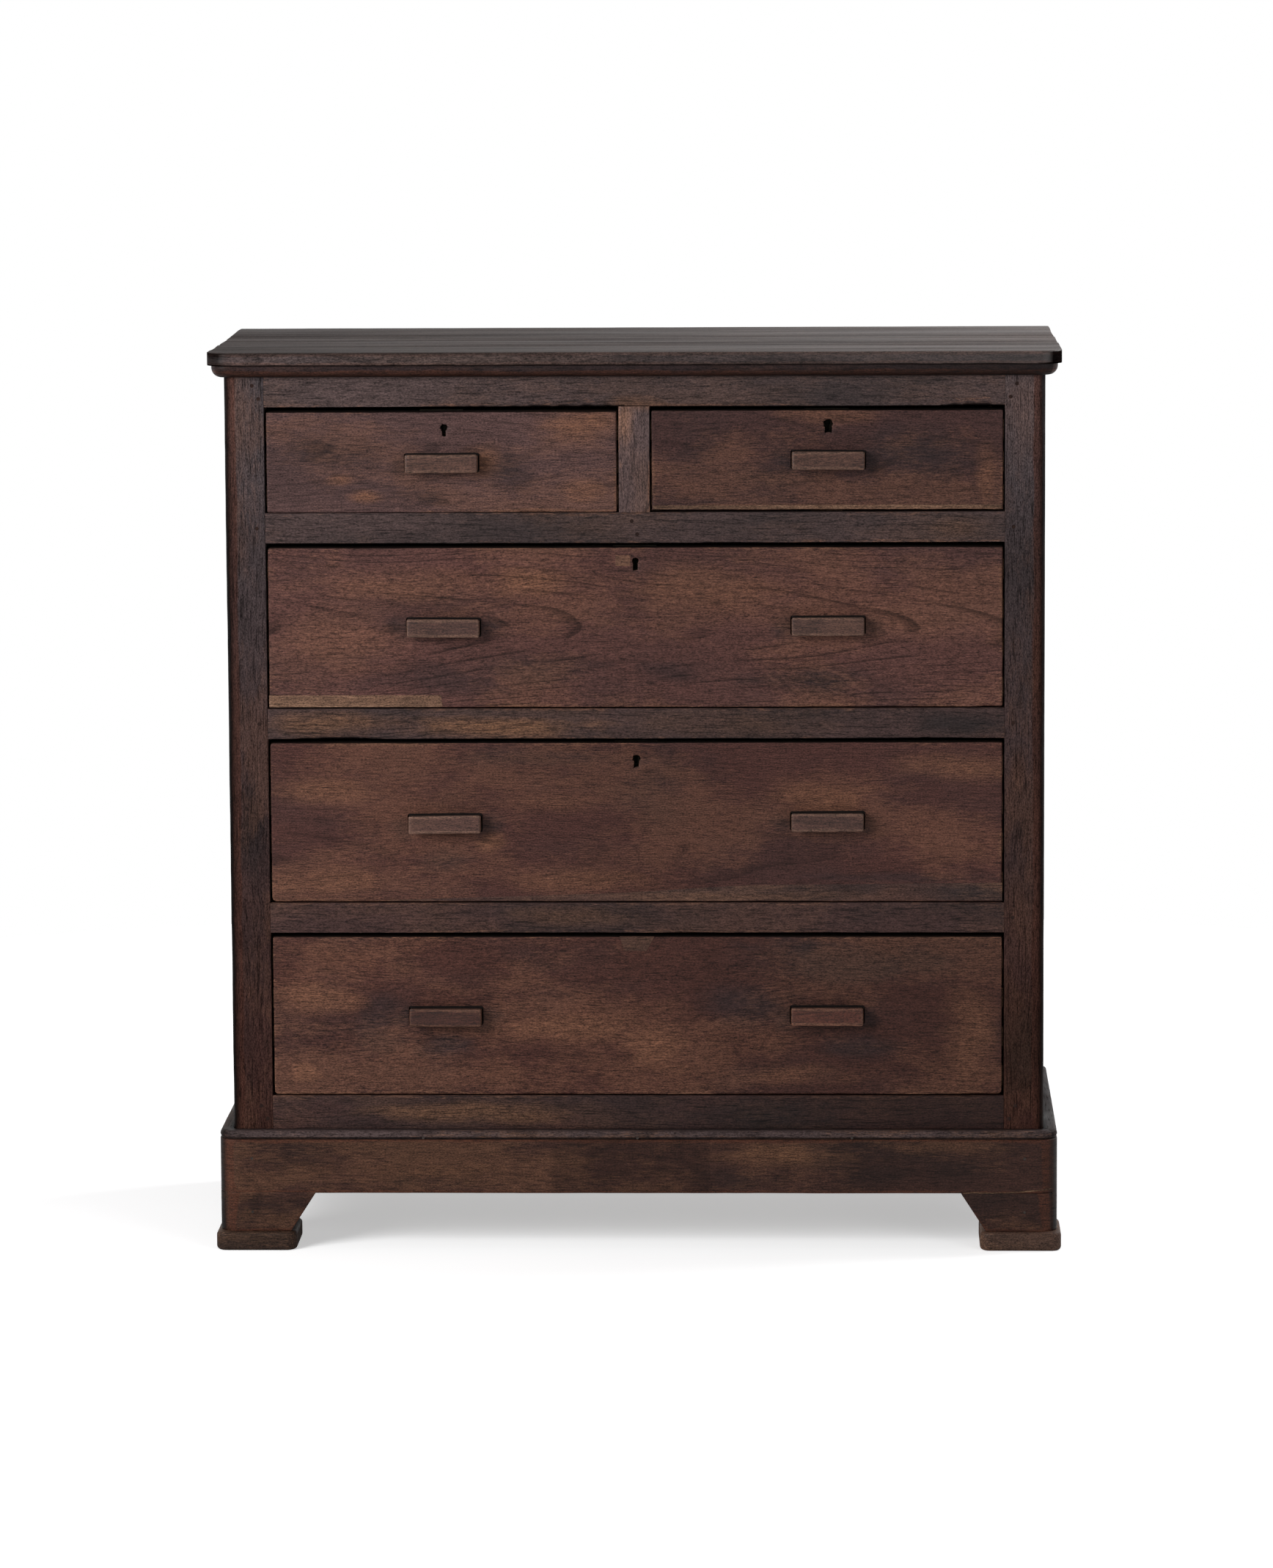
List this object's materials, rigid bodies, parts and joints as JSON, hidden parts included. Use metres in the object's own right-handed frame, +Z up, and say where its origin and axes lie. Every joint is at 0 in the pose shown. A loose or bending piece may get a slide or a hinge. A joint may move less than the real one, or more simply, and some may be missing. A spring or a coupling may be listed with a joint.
{
  "type": "chest of drawers",
  "caption": "Free-standing wooden chest of drawers with flat fronts, block pulls, keyholes, round-edged posts, a thin overhanging top and a plinth on bracket feet.",
  "frame": {"origin": "on the floor under the middle of the chest", "axes": "+Z up, +X to the right as seen from the front, +Y towards the back"},
  "size_m": [1.106, 0.482, 1.176],
  "materials": {
    "frame_teak": "aged dark teak, worn wax",
    "front_teak": "aged red-brown teak, worn wax",
    "top_teak": "aged grey-brown teak, worn wax",
    "inner_wood": "unfinished, dry",
    "lock_brass": "dull, tarnished",
    "bolt_steel": "worn",
    "nail_iron": "rusty black"
  },
  "bodies": {
    "carcase": {"top_board": "top_teak", "front_left_post": "frame_teak", "front_right_post": "frame_teak", "rear_left_post": "frame_teak", "rear_right_post": "frame_teak", "top_rail": "frame_teak", "upper_rail": "frame_teak", "middle_rail": "frame_teak", "lower_rail": "frame_teak", "bottom_rail": "frame_teak", "muntin": "frame_teak", "left_side_panel": "frame_teak", "right_side_panel": "frame_teak", "side_rails": "frame_teak", "top_moulding": "frame_teak", "plinth_front": "frame_teak", "plinth_sides": "frame_teak", "plinth_cap": "frame_teak", "bracket_feet": "frame_teak", "foot_pads": "frame_teak", "frame_pegs": "frame_teak", "back_rails": "inner_wood", "back_boards": "inner_wood", "drawer_runners": "inner_wood", "drawer_guides": "inner_wood", "drawer_stops": "inner_wood", "plinth_nails": "nail_iron"},
    "top_left_drawer": {"top_left_drawer_front": "front_teak", "top_left_drawer_sides": "inner_wood", "top_left_drawer_back": "inner_wood", "top_left_drawer_bottom": "inner_wood", "top_left_drawer_pulls": "front_teak", "top_left_lock": "lock_brass"},
    "top_left_bolt": {"top_left_lock_bolt": "bolt_steel"},
    "top_right_drawer": {"top_right_drawer_front": "front_teak", "top_right_drawer_sides": "inner_wood", "top_right_drawer_back": "inner_wood", "top_right_drawer_bottom": "inner_wood", "top_right_drawer_pulls": "front_teak", "top_right_lock": "lock_brass"},
    "top_right_bolt": {"top_right_lock_bolt": "bolt_steel"},
    "upper_drawer": {"upper_drawer_front": "front_teak", "upper_drawer_sides": "inner_wood", "upper_drawer_back": "inner_wood", "upper_drawer_bottom": "inner_wood", "upper_drawer_pulls": "front_teak", "upper_lock": "lock_brass"},
    "upper_bolt": {"upper_lock_bolt": "bolt_steel"},
    "middle_drawer": {"middle_drawer_front": "front_teak", "middle_drawer_sides": "inner_wood", "middle_drawer_back": "inner_wood", "middle_drawer_bottom": "inner_wood", "middle_drawer_pulls": "front_teak", "middle_lock": "lock_brass"},
    "middle_bolt": {"middle_lock_bolt": "bolt_steel"},
    "lower_drawer": {"lower_drawer_front": "front_teak", "lower_drawer_sides": "inner_wood", "lower_drawer_back": "inner_wood", "lower_drawer_bottom": "inner_wood", "lower_drawer_pulls": "front_teak"}
  },
  "joints": [
    {"name": "top_left_drawer_slide", "type": "slide", "parent": "carcase", "child": "top_left_drawer", "axis": [0, -1, 0], "range_m": [0, 0.33]},
    {"name": "top_left_bolt_throw", "type": "slide", "parent": "top_left_drawer", "child": "top_left_bolt", "axis": [0, 0, 1], "range_m": [0, 0.01]},
    {"name": "top_right_drawer_slide", "type": "slide", "parent": "carcase", "child": "top_right_drawer", "axis": [0, -1, 0], "range_m": [0, 0.33]},
    {"name": "top_right_bolt_throw", "type": "slide", "parent": "top_right_drawer", "child": "top_right_bolt", "axis": [0, 0, 1], "range_m": [0, 0.01]},
    {"name": "upper_drawer_slide", "type": "slide", "parent": "carcase", "child": "upper_drawer", "axis": [0, -1, 0], "range_m": [0, 0.33]},
    {"name": "upper_bolt_throw", "type": "slide", "parent": "upper_drawer", "child": "upper_bolt", "axis": [0, 0, 1], "range_m": [0, 0.01]},
    {"name": "middle_drawer_slide", "type": "slide", "parent": "carcase", "child": "middle_drawer", "axis": [0, -1, 0], "range_m": [0, 0.33]},
    {"name": "middle_bolt_throw", "type": "slide", "parent": "middle_drawer", "child": "middle_bolt", "axis": [0, 0, 1], "range_m": [0, 0.01]},
    {"name": "lower_drawer_slide", "type": "slide", "parent": "carcase", "child": "lower_drawer", "axis": [0, -1, 0], "range_m": [0, 0.33]}
  ]
}
